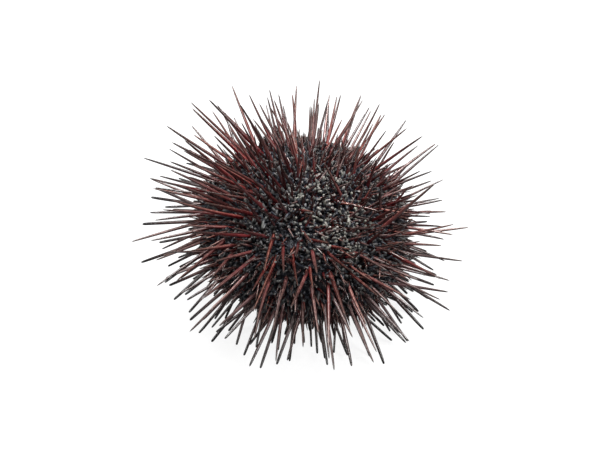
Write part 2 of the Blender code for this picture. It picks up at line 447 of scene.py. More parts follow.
def spine_bases(shell, draw):
    """Where each long spine grows, as azimuth and arc, row by row down each column."""
    first, last = APEX_ARC, shell.arc[-1] - MOUTH_ARC
    pitch = (last - first) / ROWS
    for column in range(FIFTHS * COLUMNS):
        kind = column % COLUMNS
        for row in range(ROWS):
            arc = first + pitch * (row + ROW_START + ROW_STAGGER * (column % 2))
            radius = np.interp(arc, shell.arc, shell.radius)
            share = radius / shell.sizes.shell_radius
            if kind in SIDE_COLUMNS and share < SIDE_COLUMN_SHARE:
                continue
            if kind == ODD_COLUMN and share < ODD_COLUMN_SHARE:
                continue
            azimuth = 2 * math.pi * (column + 0.5) / (FIFTHS * COLUMNS)
            azimuth += draw.normal(0, BASE_SCATTER) / radius
            yield azimuth, arc + draw.normal(0, BASE_SCATTER)


def length_at(shell, base, arc, draw):
    """A spine's length, and whether it is one of the few long ones astray in the crown."""
    length = np.interp(arc / shell.arc[-1], DOWN_SHARES, LENGTH_SHARES)
    away = (base - shell.middle).normalized()
    length *= 1 + LONG_SIDE_GAIN * max(0.0, away.dot(LONG_SIDE))
    length *= 1 + draw.uniform(-LENGTH_SPREAD, LENGTH_SPREAD)
    near = smooth(CROWN_INNER, CROWN_OUTER, (base - shell.crown).length)
    stray = near < STRAY_WITHIN and draw.random() < STRAY_SHARE
    if not stray:
        length *= CROWN_SHARE + (1 - CROWN_SHARE) * near
    return float(shell.sizes.spine_length * length), stray


def bunch_lean(base):
    """How the bunch leans that grows round a point of the shell."""
    lean = Vector([noise.noise(base / BUNCH_SIZE + place) for place in BUNCH_PLACES])
    return lean * BUNCH_LEAN


def outward_at(shell, base, normal):
    """Where the spines of one spot point on the whole, with the lean of their bunch."""
    away = (base - shell.middle).normalized()
    return (normal.lerp(away, AWAY_SHARE) + bunch_lean(base)).normalized()


def roomiest(base, outward, length, lean, taken, draw):
    """Of a few directions round the outward one, that which leaves most room."""
    shares = np.linspace(ROOM_FROM, 1, ROOM_POINTS)[:, None]
    best, most = None, -1.0
    for _ in range(TRIES):
        tilt = Vector(draw.normal(0, lean, 3))
        along = (outward + tilt).normalized()
        points = np.array(base) + shares * length * np.array(along)
        room = 1.0
        if along.dot(outward) < LEAST_OUTWARD:
            room = 0.0
        elif len(taken):
            gaps = points[:, None, :] - taken[None, :, :]
            room = math.sqrt((gaps * gaps).sum(axis=2).min())
        if room > most:
            best, most = along, room
    return best, np.array(base) + shares * length * np.array(best)


def turned_to(base, along, length, tip_height):
    """The direction leant out just so far that the tip comes to tip_height."""
    down = max(-1.0, (tip_height - base.z) / length)
    flat = Vector((along.x, along.y, 0)).normalized()
    return flat * math.sqrt(1 - down * down) + Vector((0, 0, down))


def shape_at(shell, arc, length, draw):
    """A spine's radius at its base, and where along it the waist is."""
    slim = THIN_SHARE + (1 - THIN_SHARE) * length / shell.sizes.spine_length
    radius = shell.sizes.spine_radius * slim
    radius *= 1 + draw.uniform(-RADIUS_SPREAD, RADIUS_SPREAD)
    blunt = smooth(BLUNT_FROM, BLUNT_TO, arc / shell.arc[-1])
    radius *= 1 + STOUT_GAIN * blunt
    return float(radius), WAIST_AT + (BLUNT_WAIST_AT - WAIST_AT) * blunt


def long_spines(shell):
    """Every long spine, none of them below the floor."""
    draw = np.random.default_rng(SEED)
    grown, taken = [], np.zeros((0, 3))
    for azimuth, arc in spine_bases(shell, draw):
        base, normal, _ = shell.at(azimuth, arc)
        length, stray = length_at(shell, base, arc, draw)
        radius, waist = shape_at(shell, arc, length, draw)
        lean = STRAY_LEAN if stray else OWN_LEAN
        outward = outward_at(shell, base, normal)
        along, points = roomiest(base, outward, length, lean, taken, draw)
        if base.z + along.z * length < FOOT_GAP[1]:
            along = turned_to(base, along, length, draw.uniform(*FOOT_GAP))
        taken = np.concatenate([taken, points])
        grown.append(Spine(base, along, length, radius, waist, arc))
    for foot in feet(grown):
        spine = grown[foot]
        grown[foot] = spine._replace(along=turned_to(spine.base, spine.along, spine.length, 0.0))
    return grown


def feet(grown):
    """In each sector round the object, the low spine that reaches out furthest."""
    chosen = {}
    for index, spine in enumerate(grown):
        tip = spine.base + spine.along * spine.length
        if tip.z > FOOT_GAP[1]:
            continue
        sector = int((math.atan2(tip.y, tip.x) / (2 * math.pi) % 1) * FEET)
        reach = math.hypot(tip.x, tip.y)
        if reach > chosen.get(sector, (0, 0))[0]:
            chosen[sector] = (reach, index)
    return [index for _, index in chosen.values()]


def to_middle(grown):
    """How far to move everything so that the origin is under the middle."""
    tips = np.array([spine.base + spine.along * spine.length for spine in grown])
    low, high = tips.min(axis=0), tips.max(axis=0)
    return Vector((-(low[0] + high[0]) / 2, -(low[1] + high[1]) / 2, 0))


class Plan:
    """The shell and its long spines, worked out once from the scene's sizes."""

    made = None

    def __init__(self, scene):
        self.shell = Shell(scene.urchin_sizes)
        self.spines = long_spines(self.shell)
        self.offset = to_middle(self.spines)
        self.bases = np.array([spine.base for spine in self.spines])
        self.check_tips()

    def check_tips(self):
        """Stops the script if a spine's tip isn't where the solid has one."""
        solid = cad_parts[NODE].data.vertices
        near = kdtree.KDTree(len(solid))
        for index, vertex in enumerate(solid):
            near.insert(vertex.co, index)
        near.balance()
        tips = [spine.base + spine.along * spine.length + self.offset for spine in self.spines]
        gap = max(near.find(tip)[2] for tip in tips)
        if gap > SOLID_FIT:
            raise RuntimeError(f"a spine's tip is {gap * 1000:.2f} mm off the solid's")

    @classmethod
    def of(cls, scene):
        """The scene's plan, made when the first piece asks for it."""
        if cls.made is None:
            cls.made = cls(scene)
        return cls.made


def unit(vectors):
    """The vectors, each brought to length one."""
    return vectors / np.linalg.norm(vectors, axis=-1, keepdims=True)


def crosswise(alongs, rolls):
    """Two directions across each needle, turned about it by its roll."""
    helper = np.where(np.abs(alongs[:, 2:3]) < NEARLY_UPRIGHT, [[0.0, 0.0, 1.0]], [[1.0, 0.0, 0.0]])
    side = unit(np.cross(alongs, helper))
    up = np.cross(alongs, side)
    cos, sin = np.cos(rolls)[:, None], np.sin(rolls)[:, None]
    return side * cos + up * sin, up * cos - side * sin


def mesh_object(name, points, faces, material, values=None, uvs=None):
    """An object of one smooth mesh, with point attributes and the UV map it is baked on."""
    mesh = bpy.data.meshes.new(name)
    mesh.from_pydata(points.tolist(), [], faces)
    mesh.polygons.foreach_set("use_smooth", np.ones(len(mesh.polygons), bool))
    for key, numbers in (values or {}).items():
        layer = mesh.attributes.new(key, "FLOAT", "POINT")
        layer.data.foreach_set("value", np.asarray(numbers, np.float32))
    if uvs is not None:
        layer = mesh.uv_layers.new(name="OFBake")
        layer.data.foreach_set("uv", np.asarray(uvs, np.float32).ravel())
    mesh.materials.append(material)
    mesh.update()
    made = bpy.data.objects.new(name, mesh)
    bpy.context.scene.collection.objects.link(made)
    return made


def needles(name, material, roots, alongs, lengths, radii, shares, swells, sides, **extra):
    """Many round needles as one mesh, each closed at its root and at its tip.

    shares and swells give each ring's place along its needle and its share of the radius.
    extra may hold bends, rolls, ridge, hollow and values, crests with a value for each side, and
    rubbed with a value for each ring. The crests are ridges that wear pale, made paler
    still on the sides that face up as a painted highlight.
    """
    number, rings = len(roots), shares.shape[-1]
    shares = np.broadcast_to(shares, (number, rings))
    swells = np.broadcast_to(swells, (number, rings))
    bends = extra.get("bends", np.zeros((number, 3)))
    side, up = crosswise(alongs, extra.get("rolls", np.zeros(number)))
    turned = 2 * math.pi * np.arange(sides) / sides
    ridge = 1 + extra.get("ridge", 0.0) * np.where(np.arange(sides) % 2, -1.0, 1.0)
    out = (
        side[:, None, :] * (np.cos(turned) * ridge)[None, :, None]
        + up[:, None, :] * (np.sin(turned) * ridge)[None, :, None]
    )

    def middle(share):
        bow = (4 * share * (1 - share))[..., None] * bends[:, None, :]
        straight = alongs[:, None, :] * share[..., None]
        return roots[:, None, :] + (straight + bow) * lengths[:, None, None]

    ring = middle(shares)[:, :, None, :] + out[:, None] * (radii[:, None] * swells)[..., None, None]
    ends = np.stack([np.zeros(number), np.full(number, 1.0 - extra.get("hollow", 0.0))], axis=1)
    points = np.concatenate([ring.reshape(number, -1, 3), middle(ends)], axis=1)
    points[..., 2] = np.maximum(points[..., 2], 0.0)
    values = {"along": np.concatenate([np.repeat(shares, sides, axis=1), ends], axis=1).ravel()}
    per_needle = rings * sides + 2
    for key, numbers in extra.get("values", {}).items():
        values[key] = np.repeat(numbers, per_needle)
    if "crests" in extra:
        # Painted highlight: crests on the sides that face up are made much paler, as if the top light fell
        # on them.
        facing_up = np.clip(out[..., 2], 0.0, 1.0) ** 2
        crests = np.tile(extra["crests"] * (RUBBED_ALL + PAINTED_HIGHLIGHT_ABOVE * facing_up), (1, rings))
        crests = crests * np.repeat(extra.get("rubbed", np.ones((number, rings))), sides, axis=1)
        values["crest"] = np.concatenate([crests, np.zeros((number, 2))], axis=1).ravel()
    faces, uvs = needle_faces(number, rings, sides, per_needle)
    return mesh_object(name, points.reshape(-1, 3), faces, material, values, uvs)


def ridge_crests(number, sides, draw):
    """How pale each side's edge is on each needle: every other one is a rubbed ridge."""
    return draw.uniform(*RIDGE_PALENESS, (number, sides)) * (np.arange(sides) % 2 == 0)


def needle_faces(number, rings, sides, per_needle):
    """The faces of like needles, and their places on the map, one cell for each needle."""
    k = np.arange(sides)
    after = (k + 1) % sides
    root, tip = rings * sides, rings * sides + 1
    ends = np.concatenate(
        [
            np.stack([after, k, np.full(sides, root)], axis=1),
            np.stack([root - sides + k, root - sides + after, np.full(sides, tip)], axis=1),
        ]
    )
    step = (np.arange(rings - 1) * sides)[:, None]
    walls = np.stack([step + k, step + after, step + sides + after, step + sides + k], axis=2)
    first = (np.arange(number) * per_needle)[:, None, None]
    faces = (ends[None] + first).reshape(-1, 3).tolist()
    faces += (walls.reshape(-1, 4)[None] + first).reshape(-1, 4).tolist()

    high = 1 / (rings + 1)
    left, right, half = k / sides, (k + 1) / sides, (k + 0.5) / sides
    low_ring, top_ring = np.full(sides, high), np.full(sides, 1 - high)
    low_end, top_end = np.zeros(sides), np.ones(sides)
    root_uv = np.stack([right, low_ring, left, low_ring, half, low_end], axis=1)
    tip_uv = np.stack([left, top_ring, right, top_ring, half, top_end], axis=1)
    ends_uv = np.concatenate([root_uv, tip_uv]).reshape(-1, 2)
    low = np.repeat((np.arange(rings - 1) + 1) * high, sides)
    around = [np.tile(edge, rings - 1) for edge in (left, right)]
    corners = [around[0], low, around[1], low, around[1], low + high, around[0], low + high]
    walls_uv = np.stack(corners, axis=1).reshape(-1, 2)

    cells = math.ceil(math.sqrt(number))
    place = np.stack([np.arange(number) % cells, np.arange(number) // cells], axis=1)[:, None]
    margin = 0.05
    in_cells = [
        (place + margin + (1 - 2 * margin) * part[None]).reshape(-1, 2) / cells
        for part in (ends_uv, walls_uv)
    ]
    return faces, np.concatenate(in_cells)


def node(tree, kind, links=None, inputs=None, stops=(), **settings):
    """Adds a shader node with its settings, input values, ramp stops and links."""
    made = tree.nodes.new(kind)
    for key, value in settings.items():
        setattr(made, key, value)
    for key, value in (inputs or {}).items():
        made.inputs[key].default_value = value
    for key, source in (links or {}).items():
        tree.links.new(source, made.inputs[key])
    for index, (position, tone) in enumerate(stops):
        if index >= len(made.color_ramp.elements):
            made.color_ramp.elements.new(1.0)
        made.color_ramp.elements[index].position = position
        made.color_ramp.elements[index].color = (*tone, 1)
    return made


def new_material(name, roughness, ior):
    """A material, its Principled shader and the tree that both are in."""
    made = bpy.data.materials.new(name)
    made.use_nodes = True
    shader = made.node_tree.nodes["Principled BSDF"]
    shader.inputs["Roughness"].default_value = roughness
    shader.inputs["IOR"].default_value = ior
    return made, shader, made.node_tree


def spine_material(name, colours, red_share):
    """A sea urchin's spine: ridged calcite that grew under a thin coloured skin.

    The skin is whole and dark red by the shell, and turns brown and grey towards the tip. The ridges
    wear pale all round, and are paler still on the sides that face up, which is a painted highlight.
    The eye sees a dark satin gloss with light lines along it.
    """
    made, shader, tree = new_material(name, roughness=0.27, ior=1.46)
    along, shade, wear_and_shade, crest = (
        node(tree, "ShaderNodeAttribute", attribute_name=key).outputs["Fac"]
        for key in ("along", "shade", "wear_and_shade", "crest")
    )
    skin = node(
        tree,
        "ShaderNodeValToRGB",
        {"Fac": along},
        stops=(
            (red_share, colours.spine_root),
            (0.55, colours.spine_middle),
            (0.95, colours.spine_tip),
        ),
    )
    place = node(tree, "ShaderNodeTexCoord")
    blotches = node(
        tree,
        "ShaderNodeTexNoise",
        {"Vector": place.outputs["Object"]},
        {"Scale": 1.0 / BLOTCH_WIDTH, "Detail": 3.0},
    )
    # How far the crest colour is mixed in: ridges that wear pale, and a painted highlight on the sides that
    # face up.
    rubbed = node(tree, "ShaderNodeMath", {0: crest, 1: blotches.outputs["Fac"]}, operation="MULTIPLY")
    ridged = node(
        tree,
        "ShaderNodeMix",
        {"Factor": rubbed.outputs[0], 6: skin.outputs["Color"]},
        {7: (*colours.ridge_wear_and_highlight, 1)},
        data_type="RGBA",
    )
    both = node(tree, "ShaderNodeMath", {0: shade, 1: blotches.outputs["Fac"]}, operation="ADD")
    brightness = node(
        tree,
        "ShaderNodeMapRange",
        {"Value": both.outputs[0]},
        {"From Min": 0.3, "From Max": 1.6, "To Min": 0.25, "To Max": 1.75},
    )
    # Greyer where wear_and_shade is high: random wear on every spine, and painted shade on the low long
    # spines.
    saturation = node(tree, "ShaderNodeMapRange", {"Value": wear_and_shade}, {"To Min": 1.15, "To Max": 0.40})
    tint = node(
        tree,
        "ShaderNodeHueSaturation",
        {
            "Value": brightness.outputs["Result"],
            "Saturation": saturation.outputs["Result"],
            "Color": ridged.outputs[2],
        },
    )
    tree.links.new(tint.outputs["Color"], shader.inputs["Base Color"])
    bump = node(
        tree,
        "ShaderNodeBump",
        {"Height": blotches.outputs["Fac"]},
        {"Strength": 0.25, "Distance": 0.00005},
    )
    tree.links.new(bump.outputs["Normal"], shader.inputs["Normal"])
    return made


def speck_material(name, dark, tip, low, high, roughness):
    """The small bodies between the spines: thin limy rods and wet soft stalks, left as they grew.

    They are near black below, with a paler end on some of them. The eye sees a dark mat with
    grey, greenish and creamy specks.
    """
    made, shader, tree = new_material(name, roughness, ior=1.45)
    along, shade, pale = (
        node(tree, "ShaderNodeAttribute", attribute_name=key).outputs["Fac"]
        for key in ("along", "shade", "pale")
    )
    end = node(
        tree,
        "ShaderNodeMapRange",
        {"Value": along},
        {"From Min": low, "From Max": high},
        interpolation_type="SMOOTHSTEP",
    )
    reach = node(tree, "ShaderNodeMath", {0: end.outputs["Result"], 1: pale}, operation="MULTIPLY")
    hue = node(tree, "ShaderNodeMapRange", {"Value": shade}, {"To Min": 0.45, "To Max": 0.55})
    tint = node(
        tree,
        "ShaderNodeHueSaturation",
        {"Hue": hue.outputs["Result"]},
        {"Color": (*tip, 1), "Saturation": 1.4},
    )
    mix = node(
        tree,
        "ShaderNodeMix",
        {"Factor": reach.outputs[0], 7: tint.outputs["Color"]},
        {6: (*dark, 1)},
        data_type="RGBA",
    )
    tree.links.new(mix.outputs[2], shader.inputs["Base Color"])
    return made


def skin_material(name, skin, grain_tone, grain_width, roughness):
    """Thin wet skin grown over lime: the eye sees it dark, with faint paler grains.

    The grains are as wide as a real one's, a fraction of a millimetre.
    """
    made, shader, tree = new_material(name, roughness, ior=1.4)
    place = node(tree, "ShaderNodeTexCoord")
    grains = node(
        tree,
        "ShaderNodeTexVoronoi",
        {"Vector": place.outputs["Object"]},
        {"Scale": 1.0 / grain_width},
    )
    ramp = node(
        tree,
        "ShaderNodeValToRGB",
        {"Fac": grains.outputs["Distance"]},
        stops=((0.1, grain_tone), (0.6, skin)),
    )
    tree.links.new(ramp.outputs["Color"], shader.inputs["Base Color"])
    bump = node(
        tree,
        "ShaderNodeBump",
        {"Height": grains.outputs["Distance"]},
        {"Strength": 0.5, "Distance": 0.00012},
        invert=True,
    )
    tree.links.new(bump.outputs["Normal"], shader.inputs["Normal"])
    return made


def grained_material(name, tone, other, grain_width, roughness):
    """Lime as it grew, or cast acrylic: an even surface with soft grains of two near tones."""
    made, shader, tree = new_material(name, roughness, ior=1.5)
    place = node(tree, "ShaderNodeTexCoord")
    grain = node(
        tree,
        "ShaderNodeTexNoise",
        {"Vector": place.outputs["Object"]},
        {"Scale": 1.0 / grain_width, "Detail": 2.0},
    )
    ramp = node(
        tree, "ShaderNodeValToRGB", {"Fac": grain.outputs["Fac"]}, stops=((0.3, other), (0.7, tone))
    )
    tree.links.new(ramp.outputs["Color"], shader.inputs["Base Color"])
    return made


def dress(piece, *nodes):
    """Ties a piece to the part's only body, and hides the named parts of the solid."""
    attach(piece, "root")
    if nodes:
        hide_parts(*nodes)


def leant(shell, points, normals, away_share, lean, draw):
    """Directions outward from the shell that lean in bunches and each its own way."""
    away = unit(points - np.array(shell.middle))
    bunch = np.array([bunch_lean(Vector(p)) for p in points])
    own = draw.normal(0, lean, points.shape)
    return unit(normals * (1 - away_share) + away * away_share + bunch + own)


def pale_ends(shell, points, share, draw):
    """How pale each small body's end is: some of them, in clumps, and most in the pale patch."""
    number = len(points)
    clumps = np.array([noise.noise(Vector(p) / PALE_CLUMP) for p in points])
    chosen = draw.random(number) < share * (1 + CLUMPING * clumps)
    pale = np.where(chosen, draw.uniform(*PALE_ENDS, number), draw.uniform(*DARK_ENDS, number))
    # Painted shade: away from the pale patch the ends are dimmed. In the patch they stay pale, partly as a
    # painted highlight.
    return pale * (PALE_OUTSIDE + (1 - PALE_OUTSIDE) * shell.in_pale_patch(points))


def gaps_to(points, others):
    """How far each point is from the nearest of the others."""
    near = kdtree.KDTree(len(others))
    for index, other in enumerate(others):
        near.insert(other, index)
    near.balance()
    return np.array([near.find(p)[2] for p in points])


def outside_mouth(shell, arc, margin):
    """Which places lie outside the skin round the mouth."""
    radius = np.interp(arc, shell.arc, shell.radius)
    under = arc > shell.arc[-1] / 2
    return ~(under & (radius < shell.sizes.mouth_radius + margin))


def standing_places(plan, number, draw, jitter, gap, margin=0.0, band=1.0):
    """Points and normals all over the shell, clear of the long spines and of the mouth."""
    azimuth, arc = plan.shell.spread(number, draw, jitter)
    points, normals = plan.shell.many_at(azimuth, arc)
    kept = (azimuth % BAND_TURN) / BAND_TURN < band
    kept &= gaps_to(points, plan.bases) > gap
    kept &= outside_mouth(plan.shell, arc, margin)
    return points[kept], normals[kept]


def small_bodies(plan, name, material, number, length, radius, growth):
    """Covers the shell with one kind of small body: short club-like rods or soft stalks."""
    draw = np.random.default_rng(growth.seed)
    points, normals = standing_places(plan, number, draw, growth.jitter, growth.gap, band=growth.band)
    number = len(points)
    alongs = leant(plan.shell, points, normals, SMALL_AWAY, growth.lean, draw)
    off = plan.shell.off_crown(points)
    pale = pale_ends(plan.shell, points, growth.pale, draw)
    length = length * (growth.crown_length + (1 - growth.crown_length) * off)
    made = needles(
        name,
        material,
        points + np.array(plan.offset) - alongs * ROOT_DEPTH / 2,
        alongs,
        length * draw.uniform(*growth.lengths, number) + ROOT_DEPTH / 2,
        radius * draw.uniform(*growth.radii, number) * (1 + growth.pale_swell * pale),
        np.array(growth.shares),
        np.array(growth.swells),
        growth.sides,
        bends=np.cross(alongs, draw.normal(0, 1, alongs.shape)) * growth.bow,
        ridge=growth.ridge,
        hollow=growth.hollow,
        values={"shade": draw.random(number), "pale": pale},
    )
    dress(made)


class OBJECT_OT_urchin_shell(Operator):
    """Builds the shell, with a boss under each long spine"""

    bl_idname = "object.urchin_shell"
    bl_label = "Shell"

    def execute(self, context):
        plan = Plan.of(context.scene)
        shell = plan.shell
        sizes, colours = context.scene.urchin_sizes, context.scene.urchin_colours
        azimuth = np.linspace(0, 2 * math.pi, SHELL_AROUND, endpoint=False)
        arc = np.linspace(0, shell.arc[-1], SHELL_DOWN + 1)[1:-1]
        grid_arc, grid_azimuth = (grid.ravel() for grid in np.meshgrid(arc, azimuth, indexing="ij"))
        points, normals = shell.many_at(grid_azimuth, grid_arc)
        sink = sizes.mouth_sink + UNDER_SKIN
        radius = np.interp(grid_arc, shell.arc, shell.radius)
        rim = smooth(sizes.mouth_radius + RIM_WIDTH, sizes.mouth_radius - RIM_WIDTH, radius)
        raised = self.bosses(points, plan.bases)
        raised -= np.where(grid_arc > shell.arc[-1] / 2, rim * sink, 0)
        points = points + normals * raised[:, None]
        poles, pole_normals = shell.many_at(np.zeros(2), np.array([shell.arc[0], shell.arc[-1]]))
        poles[1] -= pole_normals[1] * sink
        faces, uvs = self.faces(SHELL_AROUND, SHELL_DOWN - 1)
        skin = skin_material(
            "dark_skin_on_limy_shell", colours.shell, colours.mat_dark, grain_width=0.0006, roughness=0.45
        )
        points = np.concatenate([points, poles]) + np.array(plan.offset)
        dress(mesh_object("shell", points, faces, skin, uvs=uvs), NODE)
        return {"FINISHED"}

    def bosses(self, points, bases):
        """How far the shell rises at each point towards the boss of the nearest spine."""
        gaps = gaps_to(points, bases)
        ring = np.exp(-((gaps / BOSS_WIDTH) ** 2)) * BOSS_HEIGHT
        knob = np.exp(-((gaps / KNOB_WIDTH) ** 2)) * KNOB_HEIGHT
        return ring + knob

    def faces(self, around, rows):
        """The grid's quads and the triangles round both poles, with their map."""
        faces, uvs = [], []
        top, bottom = rows * around, rows * around + 1
        end = (rows - 1) * around
        first, last = 1 / (rows + 1), rows / (rows + 1)
        for k in range(around):
            after = (k + 1) % around
            left, right = k / around, (k + 1) / around
            middle = (left + right) / 2
            faces.append((k, after, top))
            uvs += [(left, first), (right, first), (middle, 0)]
            faces.append((end + after, end + k, bottom))
            uvs += [(right, last), (left, last), (middle, 1)]
            for row in range(rows - 1):
                low, high = (row + 1) / (rows + 1), (row + 2) / (rows + 1)
                start = row * around
                faces.append((start + after, start + k, start + around + k, start + around + after))
                uvs += [(right, low), (left, low), (left, high), (right, high)]
        return faces, np.array(uvs)


class OBJECT_OT_urchin_long_spines(Operator):
    """Builds the long spines, on the places that the solid has them"""

    bl_idname = "object.urchin_long_spines"
    bl_label = "Long spines"

    def execute(self, context):
        plan = Plan.of(context.scene)
        draw = np.random.default_rng(SEED + 2)
        spines = plan.spines
        number = len(spines)
        alongs = np.array([spine.along for spine in spines])
        lengths = np.array([spine.length for spine in spines])
        radii = np.array([spine.radius for spine in spines])
        waists = np.array([spine.waist for spine in spines])
        bluntness = ((waists - WAIST_AT) / (BLUNT_WAIST_AT - WAIST_AT))[:, None]
        shares, swells = self.profile(waists, bluntness)
        made = needles(
            "long_spines",
            spine_material("ridged_calcite_spine", context.scene.urchin_colours, red_share=0.20),
            plan.bases + np.array(plan.offset) - alongs * ROOT_DEPTH,
            alongs,
            lengths + ROOT_DEPTH,
            radii,
            shares,
            swells,
            LONG_SIDES,
            bends=np.cross(alongs, draw.normal(0, 1, alongs.shape)) * LONG_BOW,
            rolls=draw.uniform(0, math.pi, number),
            ridge=LONG_RIDGE,
            crests=ridge_crests(number, LONG_SIDES, draw),
            # Painted shade: the crests of the low, blunt spines fade out towards their tips, so the tips
            # stay dark.
            rubbed=1 - DARK_TIP_SHARE * bluntness * smooth(DARK_TIP_FROM, DARK_TIP_TO, shares),
            values={"shade": draw.random(number), "wear_and_shade": self.wear_and_shade(plan, draw)},
        )
        dress(made, NODE)
        return {"FINISHED"}

    def wear_and_shade(self, plan, draw):
        """How grey each spine turns: some random wear, and painted shade on the lower ones."""
        down = np.array([spine.arc for spine in plan.spines]) / plan.shell.arc[-1]
        by_chance = draw.uniform(0, WORN_BY_CHANCE, len(down))
        return PAINTED_SHADE_BELOW * smooth(PAINTED_SHADE_FROM, PAINTED_SHADE_TO, down) + by_chance

    def profile(self, waists, bluntness):
        """Each ring's place and width: a collar at the root, a full waist, a fine or blunt tip."""
        collar = np.array([0.0, 0.045, 0.060, 0.085])
        past_waist = np.array([0.45, 0.75, 0.92])
        fine = np.array([0.95, 1.22, 1.22, 0.98, 0.90, 0.80, 0.64, 0.50, 0.34])
        blunt = np.array([0.95, 1.22, 1.22, 0.92, 0.78, 0.66, 0.62, 0.56, 0.44])
        waist = waists[:, None]
        shares = np.concatenate(
            [
                np.broadcast_to(collar, (len(waists), len(collar))),
                0.5 * waist + COLLAR_END / 2,
                waist,
                waist + (1 - waist) * past_waist,
            ],
            axis=1,
        )
        return shares, fine + (blunt - fine) * bluntness


class OBJECT_OT_urchin_short_spines(Operator):
    """Builds the short spines that stand between the long ones"""

    bl_idname = "object.urchin_short_spines"
    bl_label = "Short spines"

    def execute(self, context):
        plan = Plan.of(context.scene)
        shell, sizes = plan.shell, context.scene.urchin_sizes
        draw = np.random.default_rng(SEED + 3)
        number = context.scene.urchin_counts.short_spines
        points, normals = standing_places(plan, number, draw, jitter=0.0007, gap=0.0009, margin=0.001)
        number = len(points)
        off = shell.off_crown(points)
        lean = (SHORT_LEAN - STEADIER_OUTSIDE * off)[:, None]
        alongs = leant(shell, points, normals, SHORT_AWAY, lean, draw)
        beside = (1 - off) * (1 - shell.in_pale_patch(points))
        lengths = sizes.short_length * (1 + LONGER_BESIDE * beside) * draw.uniform(*SHORT_LENGTHS, number)
        made = needles(
            "short_spines",
            spine_material("thin_calcite_spine", context.scene.urchin_colours, red_share=0.35),
            points + np.array(plan.offset) - alongs * ROOT_DEPTH,
            alongs,
            lengths + ROOT_DEPTH,
            sizes.short_radius * (1 + STOUTER_BESIDE * beside) * draw.uniform(*SHORT_RADII, number),
            np.array(SHORT_SHARES),
            np.array(SHORT_SWELLS),
            SHORT_SIDES,
            bends=np.cross(alongs, draw.normal(0, 1, alongs.shape)) * SHORT_BOW,
            ridge=SHORT_RIDGE,
            crests=ridge_crests(number, SHORT_SIDES, draw),
            values={"shade": draw.random(number), "wear_and_shade": draw.uniform(0, SHORT_WORN, number)},
        )
        dress(made)
        return {"FINISHED"}


class OBJECT_OT_urchin_mat(Operator):
    """Builds the mat of the shortest spines"""

    bl_idname = "object.urchin_mat"
    bl_label = "Mat"

    def execute(self, context):
        sizes, colours = context.scene.urchin_sizes, context.scene.urchin_colours
        number = context.scene.urchin_counts.mat_spines
        rod = speck_material(
            "club_tipped_mat_spine", colours.mat_dark, colours.mat_tip, low=0.5, high=0.95, roughness=0.5
        )
        plan = Plan.of(context.scene)
        small_bodies(plan, "mat_spines", rod, number, sizes.mat_length, sizes.mat_radius, MAT)
        return {"FINISHED"}


class OBJECT_OT_urchin_tube_feet(Operator):
    """Builds the tube feet with their suckers, in five bands"""

    bl_idname = "object.urchin_tube_feet"
    bl_label = "Tube feet"

    def execute(self, context):
        sizes, colours = context.scene.urchin_sizes, context.scene.urchin_colours
        number = context.scene.urchin_counts.tube_feet
        stalk = speck_material(
            "wet_tube_foot", colours.foot_stalk, colours.foot_disc, low=0.80, high=0.92, roughness=0.3
        )
        plan = Plan.of(context.scene)
        small_bodies(plan, "tube_feet", stalk, number, sizes.foot_length, sizes.foot_radius, TUBE_FEET)
        return {"FINISHED"}


class OBJECT_OT_urchin_pincers(Operator):
    """Builds the small pincers on stalks that stand between the spines"""

    bl_idname = "object.urchin_pincers"
    bl_label = "Pincers"

    def execute(self, context):
        sizes, colours = context.scene.urchin_sizes, context.scene.urchin_colours
        number = context.scene.urchin_counts.pincers
        head = speck_material(
            "pincer_on_stalk", colours.mat_dark, colours.pincer_head, low=0.60, high=0.80, roughness=0.4
        )
        plan = Plan.of(context.scene)
        small_bodies(plan, "pincers", head, number, sizes.pincer_length, sizes.pincer_radius, PINCERS)
        return {"FINISHED"}


